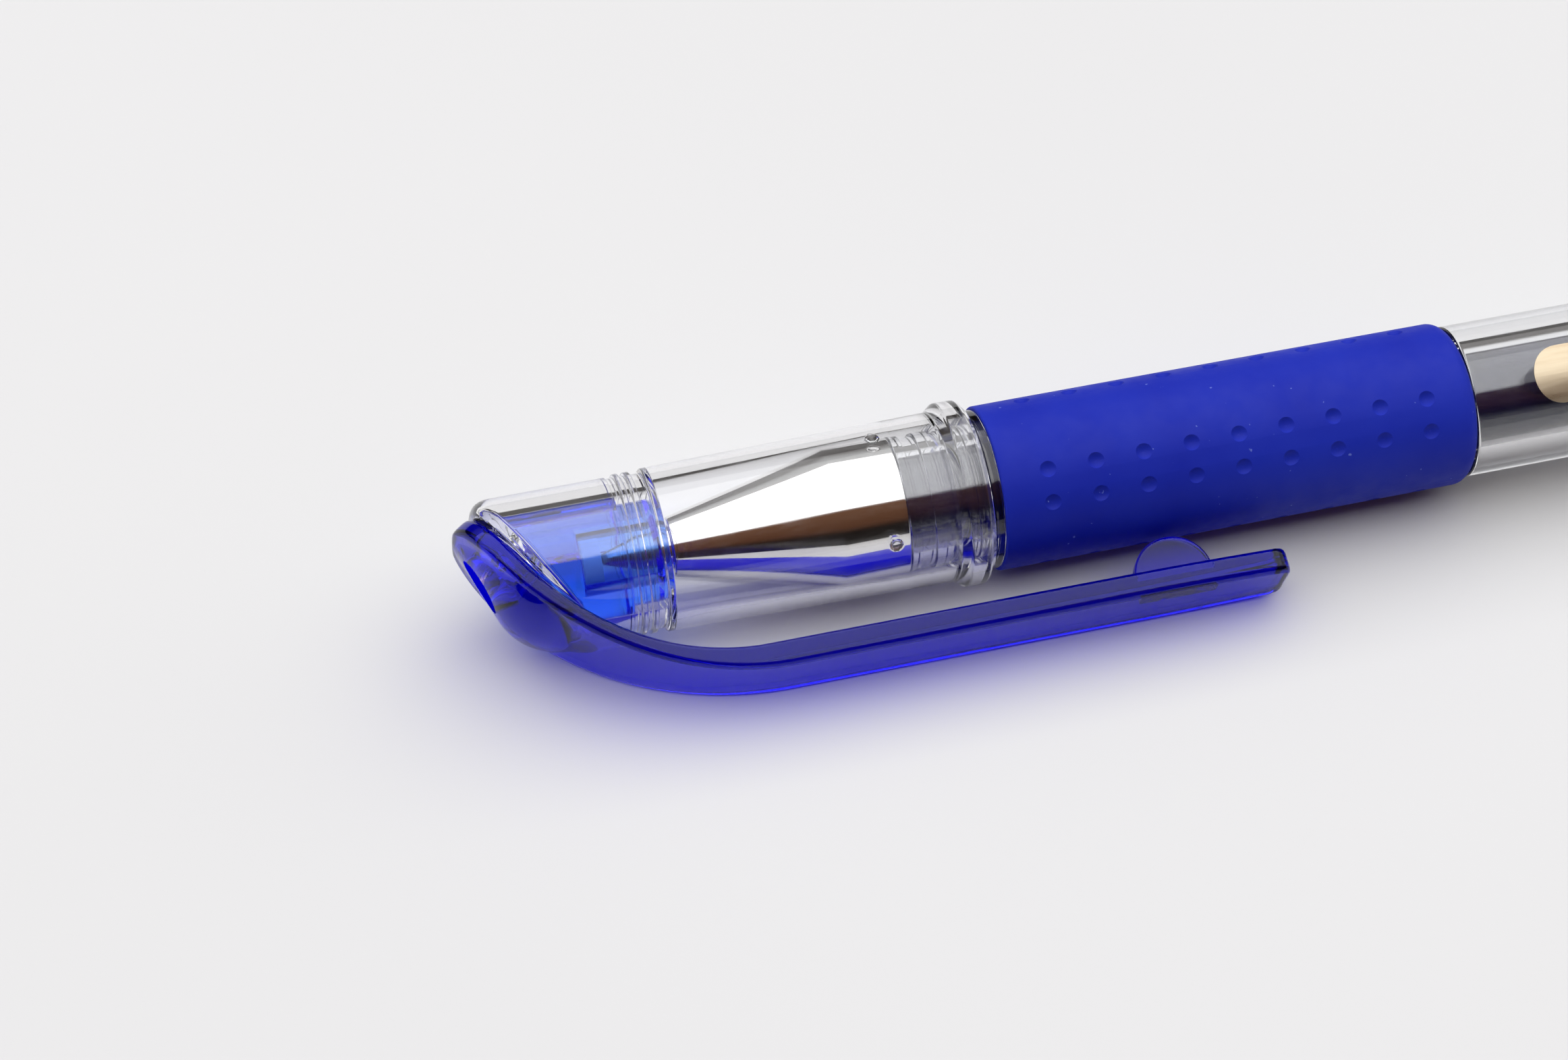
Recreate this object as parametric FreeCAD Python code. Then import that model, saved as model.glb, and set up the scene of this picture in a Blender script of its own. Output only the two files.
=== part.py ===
import FreeCAD, Part
import math
import os

from FreeCAD import Vector

# A capped gel pen lying on a table.
#
# It is modelled about its own axis, with x = 0 in the middle of the barrel's collar, the writing point
# towards -X and the tail towards +X. Until it is laid down, +Z is the side that the clip is on, so r in a
# clip dimension is the height above the axis. At the end the pen is rolled to where it rests on its bead
# and on the edge of its clip, and the origin goes to the middle of its footprint.
# Lengths are in millimetres and angles in degrees.

# Barrel
BARREL_RADIUS = 5.13
BARREL_BORE_RADIUS = 3.35
BARREL_REAR_X = 106.6
BARREL_REAR_ROUND = 0.35
COLLAR_RADIUS = 5.30
COLLAR_LENGTH = 0.70
COLLAR_ROUND = 0.12
NECK_RADIUS = 4.28
NECK_FRONT_X = -5.80
SPIGOT_RADIUS = 3.80
SPIGOT_FRONT_X = -10.30
SPIGOT_BORE_RADIUS = 3.30
SPIGOT_CHAMFER = 0.20
BORE_STEP_LENGTH = 0.50
NECK_LANDS = [(-5.80, -5.10, 4.50), (-4.15, -3.20, 4.50), (-2.50, -2.00, 4.62), (-1.20, -0.35, 4.40)]

# Grip sleeve
GRIP_RADIUS = 5.50
GRIP_LENGTH = 32.70
GRIP_BORE_RADIUS = 4.40
GRIP_FRONT_ROUND = 0.15
GRIP_REAR_ROUND = 0.95
DIMPLES_PER_ROW = 9
DIMPLE_PITCH = 3.25
DIMPLE_FIRST = 3.20
DIMPLE_WIDTH = 1.10
DIMPLE_DEPTH = 0.25
DIMPLE_PAIRS = 4
DIMPLE_PAIR_SPREAD = 22.9
DIMPLE_PAIR_FROM_CLIP = 63.0

# Tail plug
PLUG_POST_RADIUS = 4.60
PLUG_POST_LENGTH = 7.00
PLUG_POST_ROUND = 1.00
PLUG_SPIGOT_RADIUS = 4.05
PLUG_SPIGOT_LENGTH = 6.50
PLUG_CUP_RADIUS = 3.35
PLUG_END_WALL = 1.00
PLUG_CLEARANCE = 0.03
PLUG_CHAMFER = 0.27
PLUG_CHAMFER_LENGTH = 0.50
PLUG_VENT_RADIUS = 0.60

# Nose cone
NOSE_RADIUS = 4.50
NOSE_REAR_X = -5.85
NOSE_EDGE_X = -10.20
NOSE_SHOULDER_X = -21.00
NOSE_SHOULDER_RADIUS = 1.95
NOSE_LIP_X = -21.60
NOSE_LIP_RADIUS = 1.50
NOSE_SOCKET_RADIUS = 3.85
NOSE_SOCKET_DEPTH = 4.70
NOSE_THROAT_X = -19.40
NOSE_THROAT_LENGTH = 0.60
NOSE_THROAT_RADIUS = 1.70
NOSE_CAVITY_RADIUS = 3.50
NOSE_CHAMFER = 0.15
NOSE_LIP_CHAMFER = 0.10
NOSE_RIM_ROUND = 0.10

# Refill
REFILL_RADIUS = 3.00
REFILL_WALL = 0.40
REFILL_FRONT_X = -11.20
REFILL_REAR_X = 102.40
INK_REAR_X = 74.00
FOLLOWER_LENGTH = 7.00
HOLDER_SHOULDER = 0.70
HOLDER_PLUG_LENGTH = 5.00
HOLDER_NOSE_X = -18.60
HOLDER_CONE_RADIUS = 2.50
HOLDER_NOSE_RADIUS = 1.50
POINT_RADIUS = 1.15
POINT_STEP = 0.15
POINT_CLEARANCE = 0.05
POINT_REAR_X = -16.80
POINT_CONE_X = -23.10
POINT_FRONT_X = -25.50
POINT_FRONT_RADIUS = 0.36
INK_CHANNEL_RADIUS = 0.45
FEED_LENGTH = 0.60
BALL_DIAMETER = 0.50
BALL_CLEARANCE = 0.02
BALL_STAND_OUT = 0.14

# Cap shell
SHELL_MOUTH_X = -0.43
SHELL_END_X = -33.40
SHELL_END_ROUND = 1.30
SHELL_END_RADIUS = 5.20
SHELL_FRONT_RADIUS = 5.38
SHELL_REAR_RADIUS = 5.66
BEAD_RADIUS = 6.15
BEAD_FRONT_X = -2.72
BEAD_TOP_X = (-2.10, -0.82)
MOUTH_OUTER_RADIUS = 5.70
MOUTH_BORE_RADIUS = 5.10
MOUTH_CHAMFER = 0.30
RELIEF_DEPTH = 0.10
RELIEF_END_X = (-2.60, -2.80)
RING_RADIUS = 5.32
RING_GROOVE_RADIUS = 5.10
RING_EDGES_X = [-24.33, -23.82, -23.47, -23.13, -22.74, -22.00]
SHELL_BORE_REAR_RADIUS = 4.85
SHELL_BORE_FRONT_RADIUS = 4.30
SHELL_BORE_FRONT_X = -21.50
POCKET_RADIUS = 3.90
POCKET_STEP_LENGTH = 0.50
END_WALL = 1.05
PIP_X = -6.95
PIP_RADIUS = 0.50
PIP_FROM_CLIP = 39.0
PIP_GAP = 0.05

# Inner cap and its stopper
SEAL_RADIUS = 3.85
SEAL_SHOULDER_X = -24.10
SEAL_LIP_RADIUS = 3.35
SEAL_MOUTH_X = -21.75
SEAL_MOUTH_CHAMFER = 0.45
SEAL_BORE_RADIUS = 1.50
SEAL_BORE_END_X = -27.05
SEAL_SHIFT = 1.30
SEAL_ROUND = 0.35
SEAL_CHANNELS = 3
SEAL_CHANNEL_RADIUS = 0.45
STOPPER_RADIUS = 1.45
STOPPER_LENGTH = 1.25
STOPPER_GAP = 0.05
STOPPER_ROUND = 0.15

# Clip
CLIP_ROLL_BELOW_LEVEL = 20.5
CLIP_INNER_R = 8.55
CLIP_OUTER_R = 10.30
CLIP_END_X = 18.56
BEND_CENTRE_X = -16.50
BEND_RADIUS = 17.00
OUTER_BEND_RADIUS = 21.00
SLANT_ANGLE = 58.0
CROWN_THICKNESS = 1.35
CROWN_TOP_R = -3.85
CROWN_OUTLINE = [(-35.2, 4.35), (-31.2, 4.72), (-27.0, 4.05), (-22.5, 3.22), (-17.0, 2.70)]
BLADE_TAPER_X = 9.00
BLADE_END_HALF_WIDTH = 2.30
BLADE_NARROWING = 0.08
CROWN_FLARE = 0.15
CROWN_CORNER_ROUND = 4.00
BLADE_CORNER_ROUND = 1.10
CLIP_EDGE_ROUND = 0.25
SHARP_ANGLE = 15.0
CLIP_ROOT_X = -22.00
DOME_TILT = 13.0
DOME_THICKNESS = 2.13
DOME_RADIUS = 7.50
DOME_CORE_RADIUS = 3.00
DOME_SPAN = (-3.30, 2.10)
DOME_END_ROUND = 4.00
DOME_END_TURN = 85.0
DOME_WIDTH = 8.40
DOME_ROOT = 1.20
VENT_LENGTH = 4.10
VENT_WIDTH = 2.20
VENT_R = -0.35
SHELL_VENT_RADIUS = 0.90
STUD_RADIUS = 0.60
STUD_LENGTH = 0.60
STUD_OFFSET = 2.60
STUD_CLEARANCE = 0.03
STUD_END_GAP = 0.05
TAB_X = 11.15
TAB_RADIUS = 2.65
TAB_THICKNESS = 1.10
TAB_LOWEST_R = 5.82
TAB_ROOT = 0.50

# Foil print on the barrel
PRINT_THICKNESS = 0.03
PRINT_GAP = 0.01
PRINT_START_X = 37.30
PRINT_LENGTH = 24.00
PRINT_HALF_HEIGHT = 1.95
PRINT_FROM_CLIP = 75.6

AXIS = Vector(1, 0, 0)
ORIGIN = Vector(0, 0, 0)
FAR = 30.0


def turned(profile):
    """The solid that a closed outline of (x, radius) points makes when it turns about the pen's axis."""
    points = [Vector(x, 0, radius) for x, radius in profile]
    face = Part.Face(Part.makePolygon(points + points[:1]))
    return face.revolve(ORIGIN, AXIS, 360)


def rod(x_low, x_high, radius):
    """A round bar on the axis."""
    return Part.makeCylinder(radius, x_high - x_low, Vector(x_low, 0, 0), AXIS)


def round_rim(shape, radius, x, rim_radius):
    """Rounds the circular edges at one place along the axis."""
    rims = []
    for edge in shape.Edges:
        box = edge.BoundBox
        flat = abs(box.XMin - x) < 1e-3 and abs(box.XMax - x) < 1e-3
        if flat and abs(box.ZMax - rim_radius) < 1e-3:
            rims.append(edge)
    return shape.makeFillet(radius, rims)


def around(shape, angle):
    """The shape turned about the axis, from the clip's side towards +Y."""
    copy = shape.copy()
    copy.rotate(ORIGIN, AXIS, -angle)
    return copy


def grip_x(along):
    """The x of a point at a distance from the sleeve's front end."""
    return COLLAR_LENGTH / 2 + along


# ---------------------------------------------------------------- pen body


def barrel_tube():
    """Clear barrel: threaded spigot, ribbed neck, collar, core under the sleeve, and the tube behind it."""
    collar = COLLAR_LENGTH / 2
    grip_end = grip_x(GRIP_LENGTH)
    counterbore_x = BARREL_REAR_X - PLUG_SPIGOT_LENGTH
    tube = turned([
        (SPIGOT_FRONT_X, SPIGOT_BORE_RADIUS),
        (SPIGOT_FRONT_X, SPIGOT_RADIUS - SPIGOT_CHAMFER),
        (SPIGOT_FRONT_X + SPIGOT_CHAMFER, SPIGOT_RADIUS),
        (NECK_FRONT_X, SPIGOT_RADIUS),
        (NECK_FRONT_X, NECK_RADIUS),
        (-collar, NECK_RADIUS),
        (-collar, COLLAR_RADIUS),
        (collar, COLLAR_RADIUS),
        (collar, GRIP_BORE_RADIUS),
        (grip_end, GRIP_BORE_RADIUS),
        (grip_end, BARREL_RADIUS),
        (BARREL_REAR_X, BARREL_RADIUS),
        (BARREL_REAR_X, PLUG_SPIGOT_RADIUS),
        (counterbore_x, PLUG_SPIGOT_RADIUS),
        (counterbore_x, BARREL_BORE_RADIUS),
        (NECK_FRONT_X, BARREL_BORE_RADIUS),
        (NECK_FRONT_X - BORE_STEP_LENGTH, SPIGOT_BORE_RADIUS),
    ])
    for front, rear, radius in NECK_LANDS:
        land = rod(front, rear, radius).cut(rod(front, rear, SPIGOT_RADIUS))
        tube = tube.fuse(land)
    tube = tube.removeSplitter()
    tube = round_rim(tube, BARREL_REAR_ROUND, BARREL_REAR_X, BARREL_RADIUS)
    return round_rim(tube, COLLAR_ROUND, -collar, COLLAR_RADIUS)


def grip_sleeve():
    """Rubber sleeve with pairs of rows of small round dimples."""
    front = grip_x(0)
    rear = grip_x(GRIP_LENGTH)
    sleeve = rod(front, rear, GRIP_RADIUS).cut(rod(front, rear, GRIP_BORE_RADIUS))
    sleeve = round_rim(sleeve, GRIP_FRONT_ROUND, front, GRIP_RADIUS)
    sleeve = round_rim(sleeve, GRIP_REAR_ROUND, rear, GRIP_RADIUS)
    ball_radius = (DIMPLE_DEPTH**2 + (DIMPLE_WIDTH / 2) ** 2) / (2 * DIMPLE_DEPTH)
    ball_height = GRIP_RADIUS - DIMPLE_DEPTH + ball_radius
    balls = []
    for pair in range(DIMPLE_PAIRS):
        for side in (-0.5, 0.5):
            angle = DIMPLE_PAIR_FROM_CLIP + pair * 360 / DIMPLE_PAIRS + side * DIMPLE_PAIR_SPREAD
            for row in range(DIMPLES_PER_ROW):
                x = grip_x(DIMPLE_FIRST + row * DIMPLE_PITCH)
                balls.append(around(Part.makeSphere(ball_radius, Vector(x, 0, ball_height)), angle))
    return sleeve.cut(balls)


def tail_plug():
    """Plug pressed into the barrel's rear end: a post for the cap, and the vent that lets air in."""
    front = BARREL_REAR_X - PLUG_SPIGOT_LENGTH
    rear = BARREL_REAR_X + PLUG_POST_LENGTH
    cup_end = BARREL_REAR_X - PLUG_END_WALL
    spigot_radius = PLUG_SPIGOT_RADIUS - PLUG_CLEARANCE
    plug = turned([
        (front, PLUG_CUP_RADIUS),
        (front, spigot_radius - PLUG_CHAMFER),
        (front + PLUG_CHAMFER_LENGTH, spigot_radius),
        (BARREL_REAR_X, spigot_radius),
        (BARREL_REAR_X, PLUG_POST_RADIUS),
        (rear, PLUG_POST_RADIUS),
        (rear, PLUG_VENT_RADIUS),
        (cup_end, PLUG_VENT_RADIUS),
        (cup_end, PLUG_CUP_RADIUS),
    ])
    return round_rim(plug, PLUG_POST_ROUND, rear, PLUG_POST_RADIUS)


def barrel_print():
    """Foil strip on the barrel with round ends, bent to its surface."""
    inner = BARREL_RADIUS + PRINT_GAP
    outer = inner + PRINT_THICKNESS
    start = PRINT_START_X + PRINT_HALF_HEIGHT
    end = PRINT_START_X + PRINT_LENGTH - PRINT_HALF_HEIGHT
    foil = rod(PRINT_START_X, PRINT_START_X + PRINT_LENGTH, outer)
    foil = foil.cut(rod(PRINT_START_X, PRINT_START_X + PRINT_LENGTH, inner))
    outline = Part.makeBox(end - start, 2 * PRINT_HALF_HEIGHT, FAR, Vector(start, -PRINT_HALF_HEIGHT, 0))
    for x in (start, end):
        outline = outline.fuse(Part.makeCylinder(PRINT_HALF_HEIGHT, FAR, Vector(x, 0, 0)))
    return around(foil.common(outline), PRINT_FROM_CLIP)


def nose_cone():
    """Plated cone that screws on the spigot and guides the writing point."""
    socket_x = NOSE_REAR_X - NOSE_SOCKET_DEPTH
    bore_radius = POINT_RADIUS + POINT_CLEARANCE
    cone = turned([
        (NOSE_REAR_X, NOSE_SOCKET_RADIUS),
        (NOSE_REAR_X, NOSE_RADIUS),
        (NOSE_EDGE_X, NOSE_RADIUS),
        (NOSE_SHOULDER_X, NOSE_SHOULDER_RADIUS),
        (NOSE_SHOULDER_X, NOSE_LIP_RADIUS),
        (NOSE_LIP_X, NOSE_LIP_RADIUS - NOSE_LIP_CHAMFER),
        (NOSE_LIP_X, bore_radius),
        (NOSE_THROAT_X - NOSE_THROAT_LENGTH, bore_radius),
        (NOSE_THROAT_X, NOSE_THROAT_RADIUS),
        (socket_x - NOSE_CHAMFER, NOSE_CAVITY_RADIUS),
        (socket_x, NOSE_SOCKET_RADIUS),
    ])
    return round_rim(cone, NOSE_RIM_ROUND, NOSE_REAR_X, NOSE_RADIUS)


# ------------------------------------------------------------------ refill


def refill_tube():
    """Ink reservoir, open at its rear end."""
    bore = REFILL_RADIUS - REFILL_WALL
    return rod(REFILL_FRONT_X, REFILL_REAR_X, REFILL_RADIUS).cut(rod(REFILL_FRONT_X, REFILL_REAR_X, bore))


def gel_ink():
    """Column of ink from the holder's plug to the follower."""
    return rod(REFILL_FRONT_X + HOLDER_PLUG_LENGTH, INK_REAR_X, REFILL_RADIUS - REFILL_WALL)


def ink_follower():
    """Clear grease that follows the ink down the tube."""
    return rod(INK_REAR_X, INK_REAR_X + FOLLOWER_LENGTH, REFILL_RADIUS - REFILL_WALL)


def tip_holder():
    """Adapter between the tube and the metal point, with the ink channel through it."""
    shoulder_x = REFILL_FRONT_X - HOLDER_SHOULDER
    plug_x = REFILL_FRONT_X + HOLDER_PLUG_LENGTH
    plug_radius = REFILL_RADIUS - REFILL_WALL
    seat_radius = POINT_RADIUS - POINT_STEP
    return turned([
        (plug_x, INK_CHANNEL_RADIUS),
        (plug_x, plug_radius),
        (REFILL_FRONT_X, plug_radius),
        (REFILL_FRONT_X, REFILL_RADIUS),
        (shoulder_x, REFILL_RADIUS),
        (shoulder_x, HOLDER_CONE_RADIUS),
        (HOLDER_NOSE_X, HOLDER_NOSE_RADIUS),
        (HOLDER_NOSE_X, seat_radius),
        (POINT_REAR_X, seat_radius),
        (POINT_REAR_X, INK_CHANNEL_RADIUS),
    ])


def ball_centre():
    """Centre of the ball, which stands out a little in front of the point."""
    return Vector(POINT_FRONT_X - BALL_STAND_OUT + BALL_DIAMETER / 2, 0, 0)


def writing_tip():
    """Metal point with the socket that the ball rolls in."""
    shank_radius = POINT_RADIUS - POINT_STEP
    socket_radius = BALL_DIAMETER / 2 + BALL_CLEARANCE
    feed_radius = BALL_DIAMETER / 4
    centre = ball_centre()
    throat_x = centre.x + BALL_DIAMETER / 2 + FEED_LENGTH
    mouth = Vector(POINT_FRONT_X, 0, math.sqrt(socket_radius**2 - (centre.x - POINT_FRONT_X) ** 2))
    waist = centre + Vector(0, 0, socket_radius)
    back = Vector(centre.x + math.sqrt(socket_radius**2 - feed_radius**2), 0, feed_radius)
    outline = [
        (throat_x, feed_radius),
        (throat_x, INK_CHANNEL_RADIUS),
        (POINT_REAR_X, INK_CHANNEL_RADIUS),
        (POINT_REAR_X, shank_radius),
        (HOLDER_NOSE_X, shank_radius),
        (HOLDER_NOSE_X, POINT_RADIUS),
        (POINT_CONE_X, POINT_RADIUS),
        (POINT_FRONT_X, POINT_FRONT_RADIUS),
    ]
    path = [back] + [Vector(x, 0, radius) for x, radius in outline] + [mouth]
    edges = [Part.makeLine(a, b) for a, b in zip(path, path[1:])]
    edges.append(Part.Arc(mouth, waist, back).toShape())
    return Part.Face(Part.Wire(edges)).revolve(ORIGIN, AXIS, 360)


def tip_ball():
    """Ball that carries the ink to the paper."""
    return Part.makeSphere(BALL_DIAMETER / 2, ball_centre())


# --------------------------------------------------------------------- cap


def inner_bend_point(angle):
    """A point on the bend of the clip's inner face, where the face slopes by the angle."""
    turn = math.radians(angle)
    x = BEND_CENTRE_X - BEND_RADIUS * math.sin(turn)
    return Vector(x, 0, CLIP_INNER_R - BEND_RADIUS * (1 - math.cos(turn)))


def outer_bend_point(angle):
    """A point on the bend of the clip's outer face, which runs into the crown at its right thickness."""
    slope = math.radians(SLANT_ANGLE)
    start = inner_bend_point(SLANT_ANGLE)
    rise = (CLIP_OUTER_R - start.z) * math.cos(slope) + OUTER_BEND_RADIUS * (1 - math.cos(slope))
    centre_x = start.x + (rise - CROWN_THICKNESS) / math.sin(slope)
    turn = math.radians(angle)
    x = centre_x - OUTER_BEND_RADIUS * math.sin(turn)
    return Vector(x, 0, CLIP_OUTER_R - OUTER_BEND_RADIUS * (1 - math.cos(turn)))


def down_slant(point, fall):
    """The point moved down the slanted face of the cap's end, until it is lower by the fall."""
    return point - Vector(fall / math.tan(math.radians(SLANT_ANGLE)), 0, fall)


def slant_normal():
    """Direction out of the slanted face."""
    slope = math.radians(SLANT_ANGLE)
    return Vector(-math.sin(slope), 0, math.cos(slope))


def slant_point(r):
    """The point of the cap's slanted face at the height r."""
    start = inner_bend_point(SLANT_ANGLE)
    return down_slant(start, start.z - r)


def extruded(edges, half_width):
    """A closed outline in the plane of the clip, thickened to both sides."""
    face = Part.Face(Part.Wire(edges))
    face.translate(Vector(0, -half_width, 0))
    return face.extrude(Vector(0, 2 * half_width, 0))


def beyond_slant(shift):
    """All the space in front of the cap's slanted end, whose face is moved towards the tail by the shift."""
    top = inner_bend_point(0)
    middle = inner_bend_point(SLANT_ANGLE / 2)
    start = inner_bend_point(SLANT_ANGLE)
    low = slant_point(-FAR / 2)
    corners = [low, Vector(-2 * FAR, 0, low.z), Vector(-2 * FAR, 0, FAR), Vector(top.x, 0, FAR), top]
    edges = [Part.Arc(top, middle, start).toShape(), Part.makeLine(start, low)]
    for a, b in zip(corners, corners[1:]):
        edges.append(Part.makeLine(a, b))
    space = extruded(edges, FAR)
    space.translate(Vector(shift, 0, 0))
    return space


def cap_shell():
    """Clear cap: bead at its mouth, three rings, slanted closed end, and pips that grip the nose cone."""
    rings = []
    for edge, (front, rear) in enumerate(zip(RING_EDGES_X, RING_EDGES_X[1:])):
        radius = RING_GROOVE_RADIUS if edge % 2 == 0 else RING_RADIUS
        rings += [(front, radius), (rear, radius)]
    blank = turned(
        [(SHELL_END_X, 0), (SHELL_END_X, SHELL_END_RADIUS), (RING_EDGES_X[0], SHELL_END_RADIUS)]
        + rings
        + [
            (RING_EDGES_X[-1], SHELL_FRONT_RADIUS),
            (BEAD_FRONT_X, SHELL_REAR_RADIUS),
            (BEAD_TOP_X[0], BEAD_RADIUS),
            (BEAD_TOP_X[1], BEAD_RADIUS),
            (SHELL_MOUTH_X, MOUTH_OUTER_RADIUS),
            (SHELL_MOUTH_X, 0),
        ]
    )
    blank = round_rim(blank, SHELL_END_ROUND, SHELL_END_X, SHELL_END_RADIUS)
    pocket_x = SHELL_BORE_FRONT_X - POCKET_STEP_LENGTH
    relief_radius = SHELL_BORE_REAR_RADIUS + RELIEF_DEPTH
    bore = turned([
        (0, 0),
        (0, MOUTH_BORE_RADIUS),
        (SHELL_MOUTH_X, MOUTH_BORE_RADIUS),
        (SHELL_MOUTH_X - MOUTH_CHAMFER, relief_radius),
        (RELIEF_END_X[0], relief_radius),
        (RELIEF_END_X[1], SHELL_BORE_REAR_RADIUS),
        (NECK_FRONT_X, SHELL_BORE_REAR_RADIUS),
        (SHELL_BORE_FRONT_X, SHELL_BORE_FRONT_RADIUS),
        (pocket_x, POCKET_RADIUS),
        (pocket_x, 0),
    ])
    pocket = rod(-FAR * 2, pocket_x, POCKET_RADIUS).cut(beyond_slant(END_WALL))
    shell = blank.cut(beyond_slant(0)).cut([bore, pocket, shell_vent()] + stud_holes())
    return shell.fuse(pips()).removeSplitter()


def pips():
    """Four half balls inside the shell that press on the nose cone's cylinder."""
    centre_r = NOSE_RADIUS + PIP_GAP + PIP_RADIUS
    limit = rod(PIP_X - PIP_RADIUS, PIP_X + PIP_RADIUS, (SHELL_BORE_REAR_RADIUS + SHELL_REAR_RADIUS) / 2)
    made = []
    for quarter in range(4):
        ball = Part.makeSphere(PIP_RADIUS, Vector(PIP_X, 0, centre_r)).common(limit)
        made.append(around(ball, PIP_FROM_CLIP + 90 * quarter))
    return made


def shell_vent():
    """Small hole through the shell's end wall, behind the vent in the crown."""
    base = slant_point(VENT_R) - slant_normal() * END_WALL
    return Part.makeCylinder(SHELL_VENT_RADIUS, 2 * END_WALL, base, slant_normal())


def crown_studs(radius, length):
    """Two round studs across the slanted face, pointing into the shell."""
    middle = slant_point(VENT_R)
    made = []
    for side in (-1, 1):
        foot = middle + Vector(0, side * STUD_OFFSET, 0)
        made.append(Part.makeCylinder(radius, length, foot, slant_normal() * -1))
    return made


def stud_holes():
    return crown_studs(STUD_RADIUS + STUD_CLEARANCE, STUD_LENGTH + STUD_END_GAP)


def cap_seal():
    """Inner cap that closes round the writing point, with air channels along its outside."""
    blank = turned([
        (SHELL_END_X, 0),
        (SHELL_END_X, SEAL_RADIUS),
        (SEAL_SHOULDER_X, SEAL_RADIUS),
        (SEAL_SHOULDER_X, SEAL_LIP_RADIUS),
        (SEAL_MOUTH_X, SEAL_LIP_RADIUS),
        (SEAL_MOUTH_X, SEAL_BORE_RADIUS + SEAL_MOUTH_CHAMFER),
        (SEAL_MOUTH_X - SEAL_MOUTH_CHAMFER, SEAL_BORE_RADIUS),
        (SEAL_BORE_END_X, SEAL_BORE_RADIUS),
        (SEAL_BORE_END_X, 0),
    ])
    blank = round_rim(blank, SEAL_ROUND, SEAL_SHOULDER_X, SEAL_RADIUS)
    blank = round_rim(blank, SEAL_ROUND, SEAL_MOUTH_X, SEAL_LIP_RADIUS)
    channels = []
    for turn in range(SEAL_CHANNELS):
        channel = Part.makeCylinder(SEAL_CHANNEL_RADIUS, FAR, Vector(SHELL_END_X, 0, SEAL_RADIUS), AXIS)
        channels.append(around(channel, turn * 360 / SEAL_CHANNELS))
    return blank.cut(beyond_slant(SEAL_SHIFT)).cut(channels)


def tip_seal():
    """Rubber stopper at the bottom of the inner cap, which the ball rests against."""
    rear = POINT_FRONT_X - BALL_STAND_OUT - STOPPER_GAP
    stopper = rod(rear - STOPPER_LENGTH, rear, STOPPER_RADIUS)
    return round_rim(stopper, STOPPER_ROUND, rear - STOPPER_LENGTH, STOPPER_RADIUS)


def clip_side_profile():
    """The clip seen from its side: blade, bend and slanted crown."""
    bend = (0, SLANT_ANGLE / 2, SLANT_ANGLE)
    inner = [inner_bend_point(angle) for angle in bend]
    outer = [outer_bend_point(angle) for angle in reversed(bend)]
    inner_top = slant_point(CROWN_TOP_R)
    outer_top = inner_top + slant_normal() * CROWN_THICKNESS
    inner_end = Vector(CLIP_END_X, 0, CLIP_INNER_R)
    outer_end = Vector(CLIP_END_X, 0, CLIP_OUTER_R)
    return extruded(
        [
            Part.makeLine(inner_end, inner[0]),
            Part.Arc(*inner).toShape(),
            Part.makeLine(inner[2], inner_top),
            Part.makeLine(inner_top, outer_top),
            Part.makeLine(outer_top, outer[0]),
            Part.Arc(*outer).toShape(),
            Part.makeLine(outer[2], outer_end),
            Part.makeLine(outer_end, inner_end),
        ],
        FAR / 4,
    )


def side_curve(points, start, end):
    """A smooth edge through the points that sets out and arrives in the two directions."""
    curve = Part.BSplineCurve()
    curve.interpolate(Points=points, InitialTangent=start, FinalTangent=end)
    return curve.toShape()


def clip_plan():
    """The clip seen from outside: a wide crown that narrows to the blade, and the blade's tapered end."""
    low = -FAR / 2
    edges = []
    fronts = []
    ends = []
    for side in (-1, 1):
        crown = [Vector(x, side * half_width, low) for x, half_width in CROWN_OUTLINE]
        taper = Vector(BLADE_TAPER_X, crown[-1].y, low)
        end = Vector(CLIP_END_X, side * BLADE_END_HALF_WIDTH, low)
        edges.append(side_curve(crown, Vector(1, side * CROWN_FLARE, 0), AXIS))
        edges.append(Part.makeLine(crown[-1], taper))
        edges.append(side_curve([taper, end], AXIS, Vector(1, -side * BLADE_NARROWING, 0)))
        fronts.append(crown[0])
        ends.append(end)
    edges += [Part.makeLine(*fronts), Part.makeLine(*ends)]
    face = Part.Face(Part.Wire(Part.sortEdges(edges)[0]))
    return face.extrude(Vector(0, 0, 2 * FAR))


def short_edges(shape, inside):
    """The edges of a shape across its thickness whose boxes pass the test."""
    found = []
    for edge in shape.Edges:
        box = edge.BoundBox
        if box.YLength < 0.3 and edge.Length < 3 and inside(box):
            found.append(edge)
    return found


def sharp_edges(shape):
    """The edges where two faces meet at more than a slight angle."""
    found = []
    for edge in shape.Edges:
        middle = edge.valueAt((edge.FirstParameter + edge.LastParameter) / 2)
        normals = []
        for face in shape.ancestorsOfType(edge, Part.Face):
            normals.append(face.normalAt(*face.Surface.parameter(middle)))
        if len(normals) == 2 and math.degrees(normals[0].getAngle(normals[1])) > SHARP_ANGLE:
            found.append(edge)
    return found


def dome_normal():
    """Direction out of the middle of the crown's arched face."""
    slope = math.radians(SLANT_ANGLE + DOME_TILT)
    return Vector(-math.sin(slope), 0, math.cos(slope))


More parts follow.
